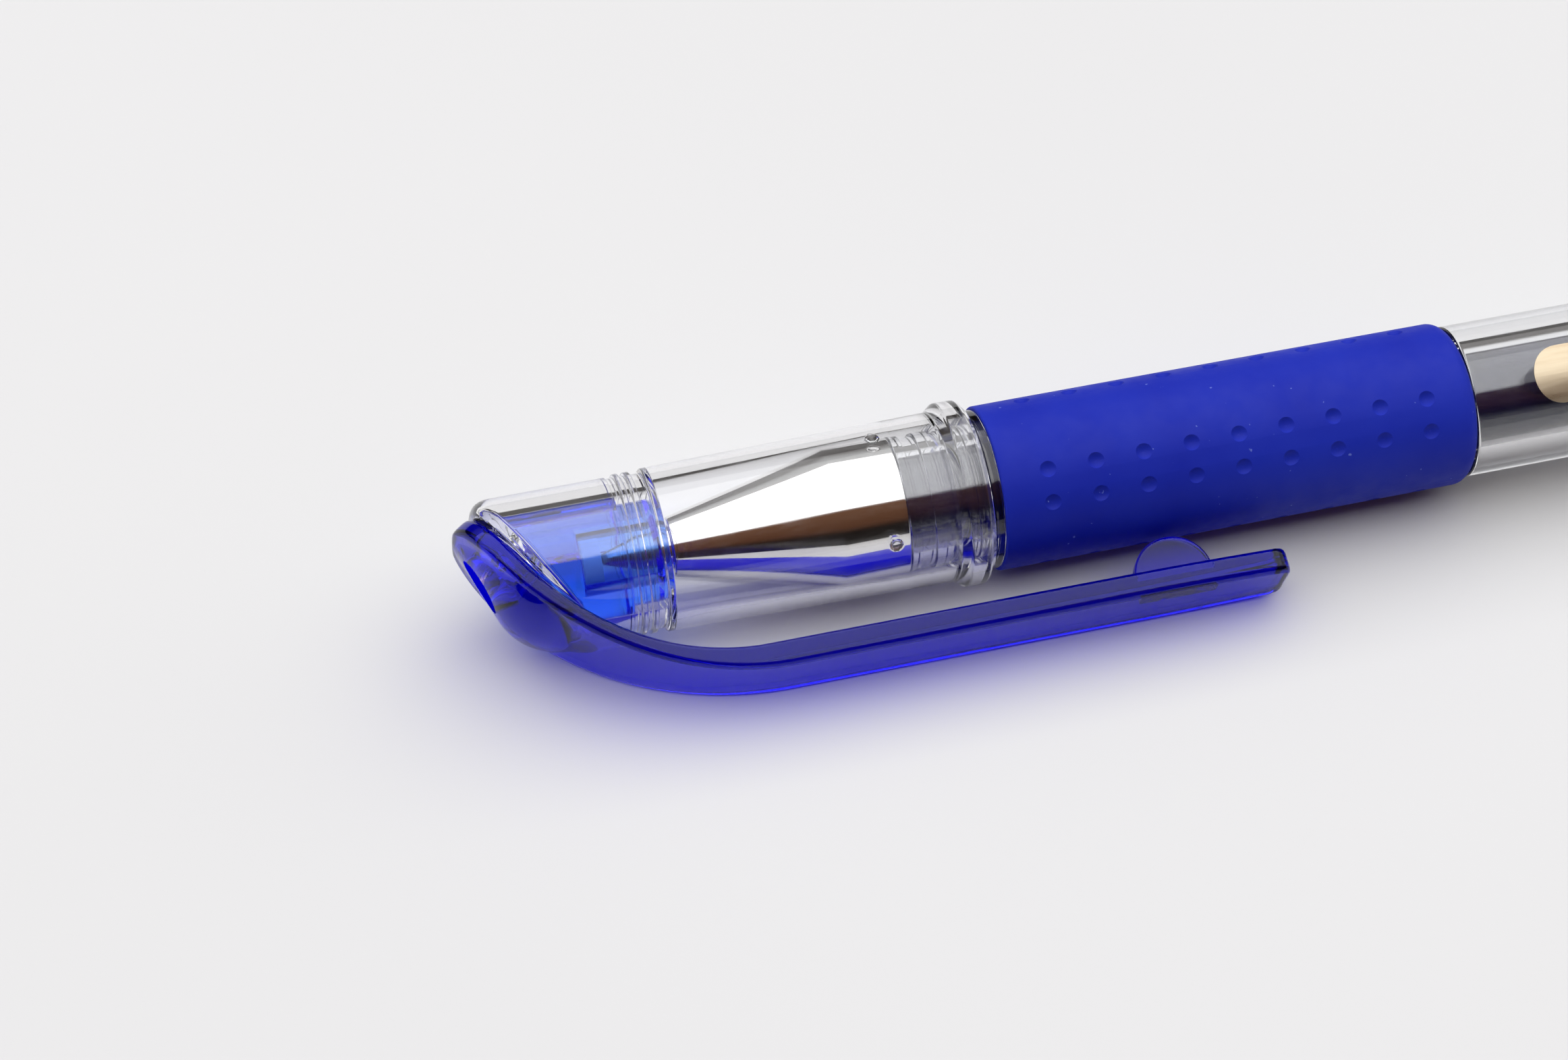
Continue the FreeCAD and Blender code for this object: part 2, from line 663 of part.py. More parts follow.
def crown_dome():
    """Arched back of the crown, thickest near the bend, where it ends in a round."""
    out = dome_normal()
    along = Vector(out.z, 0, -out.x)
    foot = slant_point(VENT_R) + out * (DOME_THICKNESS - DOME_RADIUS)
    start, end = DOME_SPAN
    core = out * DOME_CORE_RADIUS
    arc = []
    for turn in (0, DOME_END_TURN / 2, DOME_END_TURN):
        angle = math.radians(turn)
        radius = DOME_RADIUS - DOME_END_ROUND * (1 - math.cos(angle))
        arc.append(foot + along * (end + DOME_END_ROUND * math.sin(angle)) + out * radius)
    last = arc[2] - out * (arc[2] - foot).dot(out) + core
    path = [arc[2], last, foot + along * start + core, foot + along * start + out * DOME_RADIUS, arc[0]]
    edges = [Part.Arc(*arc).toShape()]
    for a, b in zip(path, path[1:]):
        edges.append(Part.makeLine(a, b))
    arched = Part.Face(Part.Wire(edges)).revolve(foot, along, 360)
    strip = Part.makeBox(2 * FAR, DOME_WIDTH, FAR, Vector(-2 * FAR, -DOME_WIDTH / 2, -FAR / 2))
    return arched.common(beyond_slant(-DOME_ROOT)).common(strip)


def crown_vent():
    """Oval hole through the thickest part of the crown."""
    face = Part.Face(Part.Wire(Part.Ellipse(ORIGIN, VENT_LENGTH / 2, VENT_WIDTH / 2).toShape()))
    hole = face.extrude(Vector(0, 0, 2 * FAR / 3))
    hole.translate(Vector(0, 0, -FAR / 3))
    hole.rotate(ORIGIN, Vector(0, 1, 0), -(SLANT_ANGLE + DOME_TILT))
    hole.translate(slant_point(VENT_R))
    return hole


def clip():
    """Crown and blade in one, before they are parted at the bend."""
    body = clip_side_profile().common(clip_plan())
    body = body.makeFillet(CROWN_CORNER_ROUND, short_edges(body, lambda box: box.ZMax < CROWN_TOP_R + 1))
    body = body.makeFillet(BLADE_CORNER_ROUND, short_edges(body, lambda box: box.XMin > CLIP_END_X - 0.1))
    body = body.makeFillet(CLIP_EDGE_ROUND, sharp_edges(body))
    tab = Part.makeCylinder(
        TAB_RADIUS, TAB_THICKNESS, Vector(TAB_X, -TAB_THICKNESS / 2, TAB_LOWEST_R + TAB_RADIUS), Vector(0, 1, 0)
    )
    below_blade = Part.makeBox(FAR, FAR, CLIP_INNER_R + TAB_ROOT, Vector(0, -FAR / 2, 0))
    body = body.fuse([tab.common(below_blade), crown_dome()] + crown_studs(STUD_RADIUS, STUD_LENGTH))
    return body.cut(crown_vent()).removeSplitter()


def clip_crown():
    """Slanted plate on the cap's closed end, with the vent and the two studs that hold it."""
    return clip().common(Part.makeBox(FAR, FAR, FAR, Vector(CLIP_ROOT_X - FAR, -FAR / 2, -FAR / 2)))


def clip_blade():
    """Springy arm along the pen, with the half-moon tab under it."""
    return clip().common(Part.makeBox(2 * FAR, FAR, FAR, Vector(CLIP_ROOT_X, -FAR / 2, -FAR / 2)))


def place(shapes):
    """Lays the pen on the table, with the origin in the middle of its footprint."""
    for shape in shapes.values():
        shape.rotate(ORIGIN, AXIS, 90 + CLIP_ROLL_BELOW_LEVEL)
    box = Part.makeCompound(list(shapes.values())).optimalBoundingBox(False, False)
    for shape in shapes.values():
        shape.translate(Vector(-box.Center.x, -box.Center.y, -box.ZMin))


PIECES = [
    barrel_tube,
    grip_sleeve,
    tail_plug,
    barrel_print,
    nose_cone,
    refill_tube,
    gel_ink,
    ink_follower,
    tip_holder,
    writing_tip,
    tip_ball,
    cap_shell,
    cap_seal,
    tip_seal,
    clip_crown,
    clip_blade,
]


def main():
    os.makedirs("parts", exist_ok=True)
    shapes = {piece.__name__: piece() for piece in PIECES}
    place(shapes)
    for name, shape in shapes.items():
        shape.exportStep(os.path.join("parts", name + ".step"))
        print(f"{name}: {len(shape.Solids)} solid, {shape.Volume:.2f} mm3, valid {shape.isValid()}")


main()
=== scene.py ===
import math

import bmesh
import bpy
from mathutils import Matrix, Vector

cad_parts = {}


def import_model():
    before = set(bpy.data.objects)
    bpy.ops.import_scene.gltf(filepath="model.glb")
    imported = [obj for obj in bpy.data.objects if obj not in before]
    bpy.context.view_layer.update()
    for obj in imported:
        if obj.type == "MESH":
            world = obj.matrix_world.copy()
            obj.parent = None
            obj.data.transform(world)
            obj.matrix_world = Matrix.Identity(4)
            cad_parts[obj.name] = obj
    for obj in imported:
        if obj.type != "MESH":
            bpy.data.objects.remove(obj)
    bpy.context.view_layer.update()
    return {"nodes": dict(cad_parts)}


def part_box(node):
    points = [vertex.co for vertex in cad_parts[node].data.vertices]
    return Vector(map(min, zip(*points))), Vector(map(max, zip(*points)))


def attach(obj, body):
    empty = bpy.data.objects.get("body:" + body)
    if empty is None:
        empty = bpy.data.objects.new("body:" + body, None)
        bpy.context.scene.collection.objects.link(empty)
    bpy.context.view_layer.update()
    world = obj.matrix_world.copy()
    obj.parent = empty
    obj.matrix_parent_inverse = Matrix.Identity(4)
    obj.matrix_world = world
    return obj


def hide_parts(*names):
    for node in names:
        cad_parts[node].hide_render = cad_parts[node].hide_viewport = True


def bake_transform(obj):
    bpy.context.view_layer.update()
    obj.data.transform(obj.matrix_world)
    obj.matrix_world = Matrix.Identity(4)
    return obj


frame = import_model()

# The looks of a capped gel pen. Sizes are in millimetres and angles in degrees, unless a name or
# math.radians says otherwise. Places are given about the pen's own axis: x along it from the middle of
# the barrel's collar towards the tail, r out from it, and the angle round it from the side that the
# clip is on. A height is measured from the axis towards the clip.

MM = 0.001

# Barrel
BARREL_RADIUS = 5.13
BARREL_BORE = 3.35
BARREL_REAR_X = 106.60
COLLAR_RADIUS = 5.30
COLLAR_HALF = 0.35
NECK_RADIUS = 4.28
NECK_FRONT_X = -5.80
NECK_LANDS = [(-5.80, -5.10, 4.50), (-4.15, -3.20, 4.50), (-2.50, -2.00, 4.62), (-1.20, -0.35, 4.40)]
CORE_RADIUS = 4.38
GRIP_REAR_X = 33.05
COUNTERBORE = 4.05
COUNTERBORE_X = 100.10
SPIGOT_FRONT_X = -10.30
SPIGOT_RADIUS = 3.80
SPIGOT_BORE = 3.30
THREAD_PITCH = 0.75
THREAD_DEPTH = 0.22

# Nose cone and refill
NOSE_RADIUS = 4.50
NOSE_REAR_X = -5.85
NOSE_EDGE_X = -10.20
NOSE_SHOULDER = (-21.00, 1.95)
NOSE_LIP = (-21.60, 1.45)
NOSE_BORE = 1.20
NOSE_SOCKET = (-10.55, 3.85)
REFILL_RADIUS = 3.00
REFILL_BORE = 2.60
REFILL_FRONT_X = -11.20
REFILL_REAR_X = 102.40
INK_FRONT_X = -6.20
INK_REAR_X = 74.00
FOLLOWER_REAR_X = 81.00
INK_OVERLAP = 0.02

# Cap
SHELL_MOUTH_X = -0.43
SHELL_END_X = -33.40
SHELL_END_RADIUS = 5.20
SHELL_END_ROUND = 1.30
SHELL_FRONT_RADIUS = 5.38
SHELL_REAR_RADIUS = 5.66
BEAD_RADIUS = 6.15
BEAD_FRONT_X = -2.72
BEAD_TOP_X = (-2.10, -0.82)
RING_EDGES_X = [-24.33, -23.82, -23.47, -23.13, -22.74, -22.00]
RING_RADIUS = 5.32
RING_GROOVE = 5.10
BORE_REAR = 4.85
BORE_FRONT = (-21.50, 4.30)
POCKET_RADIUS = 3.90
END_WALL = 1.05
END_GAP = 0.04
PIP_X = -6.95
PIP_RADIUS = 0.50
PIP_CENTRE_R = 5.05
PIP_ANGLES = [39, 129, 219, 309]
SHELL_VENT = 0.90

# Inner cap
SEAL_RADIUS = 3.85
SEAL_SHOULDER_X = -24.10
SEAL_LIP_RADIUS = 3.35
SEAL_MOUTH_X = -21.75
SEAL_BORE = 1.50
SEAL_BORE_END_X = -27.05
SEAL_SHIFT = 1.30
CHANNEL_RADIUS = 0.45
CHANNEL_ANGLES = [0, 120, 240]

# Clip
CLIP_ROLL = math.radians(20.5)
CLIP_INNER_R = 8.55
CLIP_OUTER_R = 10.30
CLIP_END_X = 18.56
BEND_X = -16.50
BEND_RADIUS = 17.00
OUTER_BEND_RADIUS = 21.00
SLANT = math.radians(58.0)
CROWN_THICKNESS = 1.35
CROWN_TOP = -3.85
CROWN_OUTLINE = [(-35.2, 4.35), (-31.2, 4.72), (-27.0, 4.05), (-22.5, 3.22), (-17.0, 2.70)]
BLADE_TAPER_X = 9.00
BLADE_END_HALF_WIDTH = 2.30
CROWN_CORNER = 4.00
BLADE_CORNER = 1.10
CLIP_EDGE = 0.50
DOME_SLOPE = math.radians(71.0)
DOME_THICKNESS = 2.13
DOME_RADIUS = 7.50
DOME_END = 2.10
DOME_END_ROUND = 4.00
DOME_BLEND = 0.12
DOME_STEPS = 24
VENT_LENGTH = 4.10
VENT_WIDTH = 2.20
VENT_HEIGHT = -0.35
STUD_RADIUS = 0.60
STUD_LENGTH = 0.60
STUD_OFFSET = 2.60
STUD_CLEARANCE = 0.03
STUD_ROOT = 0.60
STUD_EDGE = 0.12
STUD_SIDES = 32
VENT_CUT_BACK = 2
VENT_CUT_LENGTH = 6.0
TAB_X = 11.15
TAB_RADIUS = 2.65
TAB_HALF = 0.55
TAB_LOWEST = 5.82
TAB_ROOT = 0.50
TAB_EDGE = 0.18
FINE_SIDES = 96

# Rows and points of the clip's mesh
CLEAR_OF_ENDS = 9.0
EDGE_STEPS = 5
EDGE_SUPPORT = 0.06
BEND_STEPS = 60
BLADE_STEPS = 36
SLANT_STEPS = 8

# Meshes
SEGMENTS = 192
ARC_STEP = math.radians(15)
SUPPORT = 0.02
SHARP = math.radians(38)

sleeve_low, sleeve_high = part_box("grip_sleeve")
ON_AXIS = (sleeve_low + sleeve_high) / 2
ON_AXIS.x = sleeve_low.x - COLLAR_HALF * MM
TO_CLIP = Vector((0, -math.cos(CLIP_ROLL), -math.sin(CLIP_ROLL)))
TO_SIDE = Vector((0, -math.sin(CLIP_ROLL), math.cos(CLIP_ROLL)))
ALONG = Vector((1, 0, 0))


def at(x, height, side):
    """A point of the pen, from its place along the axis, towards the clip and across."""
    return ON_AXIS + MM * (x * ALONG + height * TO_CLIP + side * TO_SIDE)


def towards(x, height, side):
    return x * ALONG + height * TO_CLIP + side * TO_SIDE


# ---------------------------------------------------------------- camera, floor, light

CAMERA_AZIMUTH = math.radians(-14.04)
CAMERA_ELEVATION = math.radians(48.0)
CAMERA_DISTANCE = 228.94
CAMERA_TARGET_X = -13.31
CAMERA_TARGET_Y = -0.36
CAMERA_LENS = 80.55
SENSOR = 36.0


def camera():
    made = bpy.data.objects.new("camera", bpy.data.cameras.new("camera"))
    bpy.context.scene.collection.objects.link(made)
    flat = math.cos(CAMERA_ELEVATION)
    back = Vector((
        math.sin(CAMERA_AZIMUTH) * flat,
        -math.cos(CAMERA_AZIMUTH) * flat,
        math.sin(CAMERA_ELEVATION),
    ))
    target = at(CAMERA_TARGET_X, 0, 0) + Vector((0, CAMERA_TARGET_Y * MM, 0))
    made.location = target + back * CAMERA_DISTANCE * MM
    made.rotation_euler = back.to_track_quat("Z", "Y").to_euler()
    made.data.lens = CAMERA_LENS
    made.data.sensor_width = SENSOR
    made.data.clip_start = 0.01
    made.data.clip_end = 100
    bpy.context.scene.camera = made


def link(name, mesh):
    made = bpy.data.objects.new(name, mesh)
    bpy.context.scene.collection.objects.link(made)
    return made


def floor():
    size = 12.0
    mesh = bpy.data.meshes.new("floor")
    corners = [(-size, -size, 0), (size, -size, 0), (size, size, 0), (-size, size, 0)]
    mesh.from_pydata(corners, [], [(0, 1, 2, 3)])
    made = link("floor", mesh)
    mesh.materials.append(paper())


def area_light(name, place, aim, width, depth, radiance, colour):
    """A soft box whose brightness is given as the radiance of its face."""
    lamp = bpy.data.lights.new(name, "AREA")
    lamp.shape = "RECTANGLE"
    lamp.size = width
    lamp.size_y = depth
    lamp.energy = radiance * math.pi * width * depth
    lamp.color = colour
    made = bpy.data.objects.new(name, lamp)
    bpy.context.scene.collection.objects.link(made)
    made.location = place
    made.rotation_euler = (Vector(place) - Vector(aim)).to_track_quat("Z", "Y").to_euler()
    return made


def lights():
    area_light("soft_box", (-0.05, 0.15, 0.60), (-0.05, 0.15, 0), 1.50, 1.10, 1.05, (1.0, 1.0, 1.0))


def world():
    """A room round the table: pale above and behind, brown and dim where the viewer stands."""
    made = bpy.data.worlds.new("room")
    bpy.context.scene.world = made
    made.use_nodes = True
    nodes = made.node_tree.nodes
    links = made.node_tree.links
    nodes.clear()
    where = nodes.new("ShaderNodeTexCoord")
    parts = nodes.new("ShaderNodeSeparateXYZ")
    links.new(where.outputs["Generated"], parts.inputs[0])
    front = nodes.new("ShaderNodeMath")
    front.operation = "MULTIPLY"
    front.inputs[1].default_value = -1
    links.new(parts.outputs["Y"], front.inputs[0])
    turn = nodes.new("ShaderNodeMath")
    turn.operation = "ARCTAN2"
    links.new(front.outputs[0], turn.inputs[0])
    links.new(parts.outputs["Z"], turn.inputs[1])
    share = nodes.new("ShaderNodeMapRange")
    share.inputs["From Min"].default_value = -math.pi
    share.inputs["From Max"].default_value = math.pi
    links.new(turn.outputs[0], share.inputs["Value"])
    ramp = nodes.new("ShaderNodeValToRGB")
    links.new(share.outputs[0], ramp.inputs[0])
    stops = [
        (-95, (0.02, 0.018, 0.016)),
        (-70, (0.05, 0.04, 0.036)),
        (-62, (0.36, 0.36, 0.36)),
        (-51, (0.50, 0.50, 0.50)),
        (-47, (1.15, 1.15, 1.15)),
        (30, (1.15, 1.15, 1.15)),
        (36, (0.17, 0.085, 0.05)),
        (62, (0.10, 0.042, 0.022)),
        (71, (0.015, 0.012, 0.011)),
        (100, (0.02, 0.018, 0.016)),
    ]
    ends = ramp.color_ramp.elements
    while len(ends) > 1:
        ends.remove(ends[-1])
    for index, (angle, colour) in enumerate(stops):
        place = 0.5 + angle / 360
        stop = ends[0] if index == 0 else ends.new(place)
        stop.position = place
        stop.color = (*colour, 1)
    room = nodes.new("ShaderNodeBackground")
    links.new(ramp.outputs[0], room.inputs[0])
    pale = nodes.new("ShaderNodeBackground")
    pale.inputs[0].default_value = (0.83, 0.83, 0.845, 1)
    path = nodes.new("ShaderNodeLightPath")
    mixed = nodes.new("ShaderNodeMixShader")
    links.new(path.outputs["Is Camera Ray"], mixed.inputs[0])
    links.new(room.outputs[0], mixed.inputs[1])
    links.new(pale.outputs[0], mixed.inputs[2])
    out = nodes.new("ShaderNodeOutputWorld")
    links.new(mixed.outputs[0], out.inputs[0])


# ---------------------------------------------------------------- materials


class Finish:
    """A node material that is built up step by step round one Principled shader."""

    def __init__(self, name, colour, roughness, **values):
        self.material = bpy.data.materials.new(name)
        self.material.use_nodes = True
        tree = self.material.node_tree
        self.nodes = tree.nodes
        self.links = tree.links
        self.shader = self.nodes["Principled BSDF"]
        self.out = self.nodes["Material Output"]
        self.shader.inputs["Base Color"].default_value = (*colour, 1)
        self.shader.inputs["Roughness"].default_value = roughness
        for key, value in values.items():
            self.shader.inputs[key.replace("_", " ")].default_value = value
        self.place = self.nodes.new("ShaderNodeTexCoord").outputs["Object"]

    def stretched(self, x, y, z):
        """Coordinates in which the texture is drawn out along the pen, or not."""
        node = self.nodes.new("ShaderNodeMapping")
        node.inputs["Scale"].default_value = (x, y, z)
        self.links.new(self.place, node.inputs["Vector"])
        return node.outputs[0]

    def noise(self, scale, detail=3.0, where=None):
        node = self.nodes.new("ShaderNodeTexNoise")
        node.inputs["Scale"].default_value = scale
        node.inputs["Detail"].default_value = detail
        self.links.new(where or self.place, node.inputs["Vector"])
        return node.outputs["Fac"]

    def ramp(self, source, stops):
        """A source read through (place, colour or grey) stops."""
        node = self.nodes.new("ShaderNodeValToRGB")
        self.links.new(source, node.inputs[0])
        for index, (place, value) in enumerate(stops):
            stop = node.color_ramp.elements[index] if index < 2 else node.color_ramp.elements.new(place)
            stop.position = place
            grey = isinstance(value, (int, float))
            stop.color = (value, value, value, 1) if grey else (*value, 1)
        return node.outputs[0]

    def span(self, source, low, high, into_low, into_high):
        node = self.nodes.new("ShaderNodeMapRange")
        limits = {"From Min": low, "From Max": high, "To Min": into_low, "To Max": into_high}
        for key, value in limits.items():
            node.inputs[key].default_value = value
        self.links.new(source, node.inputs["Value"])
        return node.outputs[0]

    def bump(self, source, height, strength=1.0):
        """Relief whose full height is given in millimetres; reliefs add up."""
        node = self.nodes.new("ShaderNodeBump")
        node.inputs["Distance"].default_value = height * MM
        node.inputs["Strength"].default_value = strength
        self.links.new(source, node.inputs["Height"])
        normal = self.shader.inputs["Normal"]
        if normal.is_linked:
            self.links.new(normal.links[0].from_socket, node.inputs["Normal"])
        self.links.new(node.outputs[0], normal)
        return self

    def drive(self, socket, source):
        self.links.new(source, self.shader.inputs[socket])
        return self

    def scratches(self, low, high):
        """Faint hairlines and wiped patches in the gloss."""
        hair = self.noise(2600, 2.0, self.stretched(0.12, 1, 1))
        smear = self.noise(240, 4.0)
        both = self.nodes.new("ShaderNodeMath")
        both.operation = "MULTIPLY"
        self.links.new(hair, both.inputs[0])
        self.links.new(smear, both.inputs[1])
        return self.drive("Roughness", self.span(both.outputs[0], 0.20, 0.34, low, high))

    def let_lamps_through(self, colour):
        """Lamps shine through the piece and tint its shadow."""
        path = self.nodes.new("ShaderNodeLightPath")
        through = self.nodes.new("ShaderNodeBsdfTransparent")
        through.inputs[0].default_value = (*colour, 1)
        mixed = self.nodes.new("ShaderNodeMixShader")
        self.links.new(path.outputs["Is Shadow Ray"], mixed.inputs[0])
        self.links.new(self.shader.outputs[0], mixed.inputs[1])
        self.links.new(through.outputs[0], mixed.inputs[2])
        self.links.new(mixed.outputs[0], self.out.inputs["Surface"])
        return self

    def absorb(self, colour, density):
        """Colour that deepens with the thickness, per metre."""
        volume = self.nodes.new("ShaderNodeVolumeAbsorption")
        volume.inputs["Color"].default_value = (*colour, 1)
        volume.inputs["Density"].default_value = density
        self.links.new(volume.outputs[0], self.out.inputs["Volume"])
        return self


def paper():
    made = Finish("table_paper", (0.60, 0.60, 0.607), 0.75)
    tone = made.ramp(made.noise(9, 4.0), [(0.3, (0.593, 0.593, 0.600)), (0.7, (0.606, 0.606, 0.613))])
    made.drive("Base Color", tone)
    return made.bump(made.noise(3000, 3.0), 0.01, 0.3).material


def clear_plastic(name, tint, shadow):
    made = Finish(name, tint, 0.02, Transmission_Weight=1.0, IOR=1.55)
    made.scratches(0.0, 0.07)
    made.bump(made.noise(160, 2.0), 0.010)
    return made.let_lamps_through(shadow).material


def blue_plastic(name, tint, colour, density, shadow, ior=1.49):
    made = Finish(name, tint, 0.03, Transmission_Weight=1.0, IOR=ior, Specular_IOR_Level=0.32)
    made.scratches(0.01, 0.10)
    made.bump(made.noise(150, 2.0), 0.008)
    made.absorb(colour, density)
    return made.let_lamps_through(shadow).material


def rubber():
    made = Finish("grip_rubber", (0.006, 0.016, 0.36), 0.55, Specular_IOR_Level=0.14)
    cloud = made.noise(120, 5.0)
    base = made.ramp(cloud, [(0.30, (0.005, 0.014, 0.310)), (0.70, (0.009, 0.023, 0.370))])
    dust = made.ramp(made.noise(2300, 1.0), [(0.775, 0.0), (0.80, 1.0)])
    mix = made.nodes.new("ShaderNodeMix")
    mix.data_type = "RGBA"
    made.links.new(dust, mix.inputs["Factor"])
    made.links.new(base, mix.inputs["A"])
    mix.inputs["B"].default_value = (0.10, 0.14, 0.50, 1)
    made.drive("Base Color", mix.outputs["Result"])
    made.drive("Roughness", made.span(made.noise(700, 3.0), 0.3, 0.7, 0.48, 0.66))
    made.bump(made.noise(4200, 3.0), 0.006)
    return made.bump(made.noise(380, 3.0), 0.012).material


def chrome():
    made = Finish("nose_chrome", (0.80, 0.79, 0.78), 0.05, Metallic=1.0)
    made.scratches(0.02, 0.09)
    return made.bump(made.noise(220, 2.0), 0.004).material


def refill_plastic():
    made = Finish("refill_plastic", (0.93, 0.94, 0.96), 0.10, Transmission_Weight=1.0, IOR=1.49)
    made.scratches(0.05, 0.16)
    made.bump(made.noise(500, 3.0, made.stretched(0.1, 1, 1)), 0.006)
    return made.let_lamps_through((0.75, 0.76, 0.80)).material


def ink():
    made = Finish("blue_ink", (0.004, 0.004, 0.035), 0.12, IOR=1.40)
    tone = made.ramp(made.noise(300, 4.0), [(0.35, (0.003, 0.003, 0.028)), (0.70, (0.008, 0.007, 0.050))])
    made.drive("Base Color", tone)
    return made.bump(made.noise(500, 3.0), 0.006).material


def grease():
    made = Finish("follower_grease", (0.90, 0.86, 0.68), 0.12, Transmission_Weight=0.85, IOR=1.46)
    made.drive("Roughness", made.span(made.noise(900, 4.0), 0.3, 0.7, 0.06, 0.25))
    return made.bump(made.noise(700, 3.0), 0.01).let_lamps_through((0.8, 0.75, 0.6)).material


def moulded(name, low, high, rough_low, rough_high, grain=0.005):
    """Opaque moulded or rubbery part with cloudy colour and a fine grain."""
    made = Finish(name, high, rough_high)
    made.drive("Base Color", made.ramp(made.noise(260, 4.0), [(0.3, low), (0.7, high)]))
    made.drive("Roughness", made.span(made.noise(900, 3.0), 0.3, 0.7, rough_low, rough_high))
    return made.bump(made.noise(2600, 3.0), grain).material


def turned_metal(name, colour, roughness):
    """Metal with fine tool marks round the axis."""
    made = Finish(name, colour, roughness, Metallic=1.0)
    marks = made.noise(9000, 2.0, made.stretched(1, 0.02, 0.02))
    made.drive("Roughness", made.span(marks, 0.3, 0.7, roughness * 0.7, roughness * 1.4))
    return made.bump(marks, 0.004).material


def foil():
    made = Finish("gold_foil", (0.86, 0.70, 0.44), 0.30, Metallic=0.75)
    streaks = made.noise(1500, 4.0, made.stretched(0.12, 1, 1))
    tone = made.ramp(streaks, [(0.30, (0.44, 0.35, 0.24)), (0.70, (0.60, 0.51, 0.37))])
    made.drive("Base Color", tone)
    made.drive("Roughness", made.span(streaks, 0.3, 0.7, 0.22, 0.42))
    return made.bump(made.noise(3500, 3.0), 0.003).material


# ---------------------------------------------------------------- meshes round the axis


def rounded(outline, closed):
    """An outline of (x, r, corner radius) points with its corners turned into arcs, the flats kept flat."""
    path = []
    count = len(outline)
    for index, (x, r, radius) in enumerate(outline):
        corner = Vector((x, r))
        if radius == 0 or not closed and index in (0, count - 1):
            path.append((x, r))
            continue
        before = Vector(outline[index - 1][:2]) - corner
        after = Vector(outline[(index + 1) % count][:2]) - corner
        half = before.angle(after) / 2
        reach = min(radius / math.tan(half), 0.45 * before.length, 0.45 * after.length)
        radius = reach * math.tan(half)
        before.normalize()
        after.normalize()
        centre = corner + (before + after).normalized() * radius / math.sin(half)
        start = corner + before * reach
        end = corner + after * reach
        turn = math.pi - 2 * half
        steps = max(3, math.ceil(turn / ARC_STEP))
        path.append(tuple(start + before * min(SUPPORT, 0.04 * reach + 0.002)))
        for step in range(steps + 1):
            a = math.sin(turn * (1 - step / steps)) / math.sin(turn)
            b = math.sin(turn * step / steps) / math.sin(turn)
            path.append(tuple(centre + (start - centre) * a + (end - centre) * b))
        path.append(tuple(end + after * min(SUPPORT, 0.04 * reach + 0.002)))
    return path


def fixed(points):
    """Rings that are round, one for each (x, r) point."""
    return [lambda angle, x=x, r=r: (x, r) for x, r in points]


def even_angles(extra=()):
    """Angles round the axis, closer where a small feature needs it."""
    turns = {round(360 * step / SEGMENTS, 4) for step in range(SEGMENTS)}
    for centre, reach, step in extra:
        count = int(reach / step)
        turns |= {round((centre + k * step) % 360, 4) for k in range(-count, count + 1)}
    return [math.radians(turn) for turn in sorted(turns)]


def corners(row, following, i, j):
    """Corners of the face between two rows, either of which may be a single point."""
    near = [row[i % len(row)], row[j % len(row)]]
    far = [following[j % len(following)], following[i % len(following)]]
    return list(dict.fromkeys(near + far))


def ring_mesh(name, rings, closed, angles=None):
    """Surface through rings round the axis. A ring with no radius is a single point."""
    angles = angles or even_angles()
    made = bmesh.new()
    rows = []
    for ring in rings:
        points = [ring(angle) for angle in angles]
        if max(r for x, r in points) < 1e-6:
            rows.append([made.verts.new(at(points[0][0], 0, 0))])
            continue
        row = []
        for angle, (x, r) in zip(angles, points):
            row.append(made.verts.new(at(x, r * math.cos(angle), r * math.sin(angle))))
        rows.append(row)
    pairs = list(zip(rows, rows[1:]))
    if closed:
        pairs.append((rows[-1], rows[0]))
    count = len(angles)
    for row, following in pairs:
        for i in range(count):
            j = (i + 1) % count
            made.faces.new(corners(row, following, i, j))
    return finished(name, made)


def finished(name, made):
    """A bmesh as an object with outward faces and smooth shading between sharp edges."""
    bmesh.ops.recalc_face_normals(made, faces=made.faces)
    mesh = bpy.data.meshes.new(name)
    made.to_mesh(mesh)
    made.free()
    smooth(mesh)
    return link(name, mesh)


def smooth(mesh):
    mesh.polygons.foreach_set("use_smooth", [True] * len(mesh.polygons))
    mesh.set_sharp_from_angle(angle=SHARP)


def combined(piece, other, operation, crossing=False):
    """The piece joined with another or cut by it; the other is used up. A piece may cross itself."""
    step = piece.modifiers.new("combine", "BOOLEAN")
    step.operation = operation
    step.solver = "EXACT"
    step.use_self = crossing
    step.object = other
    result = bpy.data.meshes.new_from_object(piece.evaluated_get(bpy.context.evaluated_depsgraph_get()))
    result.validate()
    piece.modifiers.clear()
    old = piece.data
    piece.data = result
    result.name = old.name
    bpy.data.meshes.remove(old)
    bpy.data.objects.remove(other)
    smooth(result)
    return piece


def rod(name, foot, direction, radius, length, edge=0.0, sides=64):
    """A round bar from a foot point, with both rims rounded."""
    axis = direction.normalized()
    across = axis.orthogonal().normalized()
    beside = axis.cross(across)
    path = rounded([(0, 0, 0), (0, radius, edge), (length, radius, edge), (length, 0, 0)], False)
    made = bmesh.new()
    rows = []
    for along, r in path:
        if r < 1e-9:
            rows.append([made.verts.new(foot + MM * along * axis)])
            continue
        row = []
        for side in range(sides):
            turn = 2 * math.pi * side / sides
            spoke = math.cos(turn) * across + math.sin(turn) * beside
            row.append(made.verts.new(foot + MM * (along * axis + r * spoke)))
        rows.append(row)
    for row, following in zip(rows, rows[1:]):
        for i in range(sides):
            j = (i + 1) % sides
            made.faces.new(corners(row, following, i, j))
    return finished(name, made)


# ---------------------------------------------------------------- the cap's slanted end


def bend_point(centre_x, top, radius, angle):
    """(x, height) on an arc that leaves a level line at the centre's x and slopes by the angle."""
    return centre_x - radius * math.sin(angle), top - radius * (1 - math.cos(angle))


